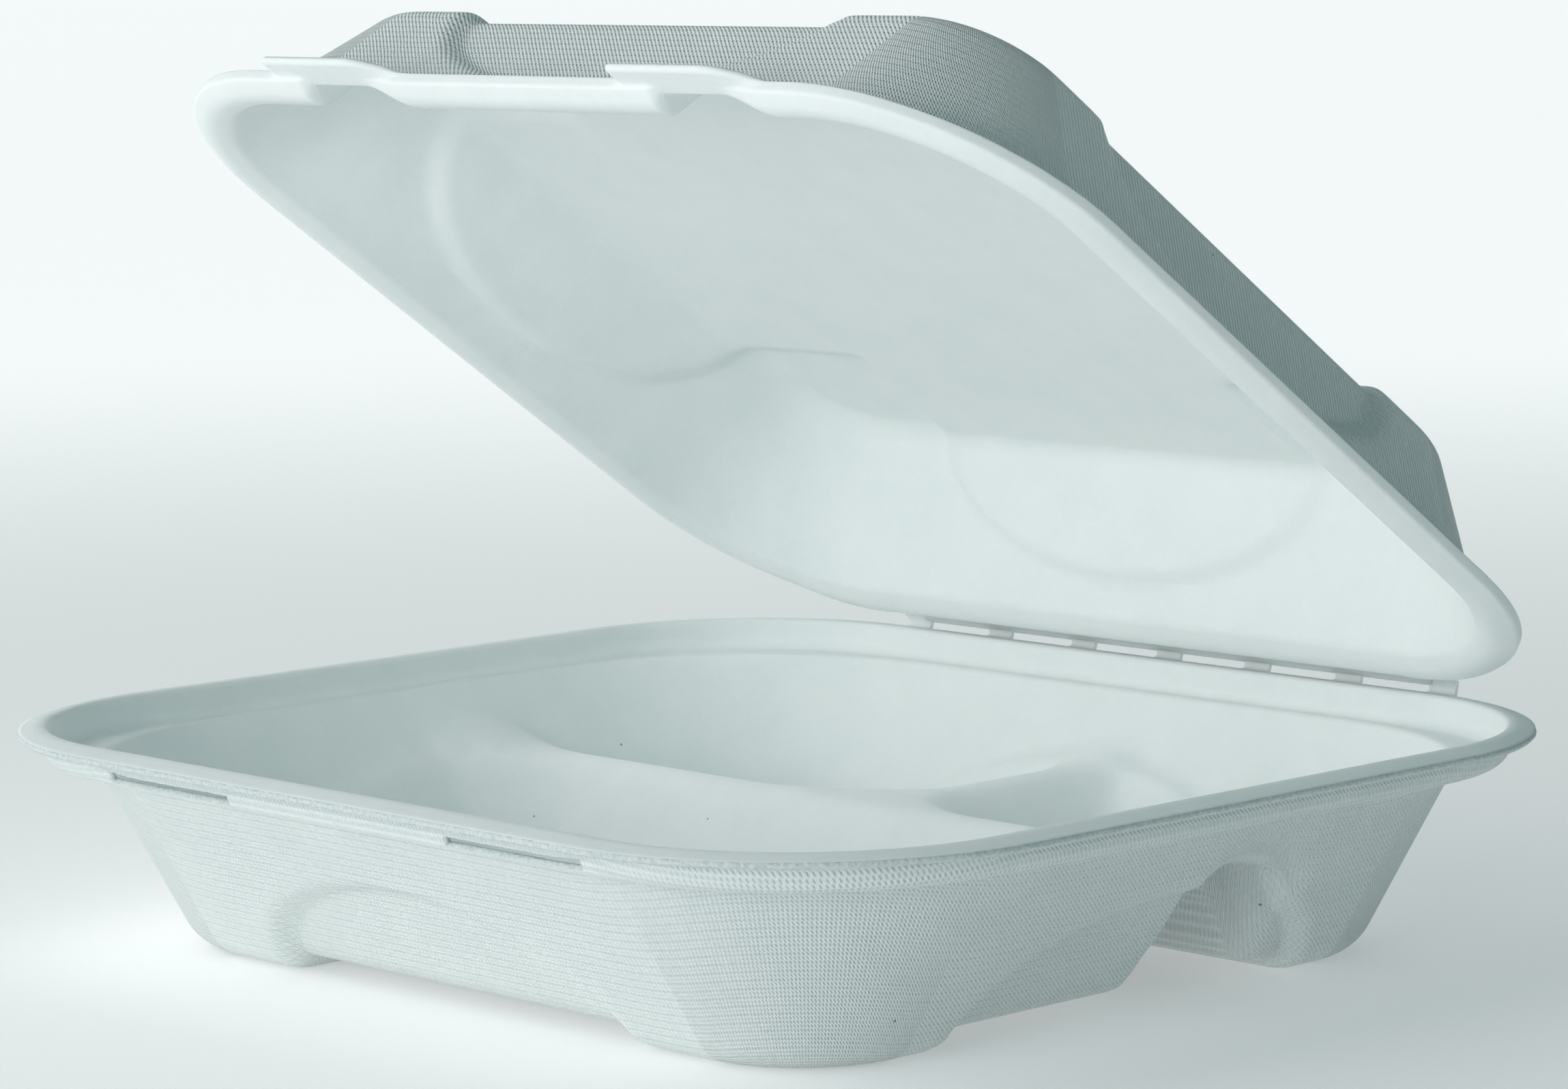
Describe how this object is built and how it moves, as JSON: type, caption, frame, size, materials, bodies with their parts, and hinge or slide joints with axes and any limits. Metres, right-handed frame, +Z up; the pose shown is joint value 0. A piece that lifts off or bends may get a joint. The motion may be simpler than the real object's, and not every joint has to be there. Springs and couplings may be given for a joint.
{
  "type": "clamshell container",
  "caption": "Moulded plant-fibre food container with a divided tray and a hinged lid, drawn with the lid part open.",
  "frame": {"origin": "on the table, midway between the four feet of the base", "axes": "+X along the fold of the lid, -Y towards the front with the latch slots, +Z up"},
  "size_m": [0.228, 0.2116, 0.1645],
  "materials": {
    "fibre": "matte"
  },
  "bodies": {
    "base": {"base": "fibre"},
    "lid": {"lid": "fibre"}
  },
  "joints": [
    {"name": "lid_hinge", "type": "hinge", "parent": "base", "child": "lid", "pos_m": [0, 0.1065, 0.0395], "axis": [-1, 0, 0], "range_deg": [-33.6, 145.4]}
  ]
}
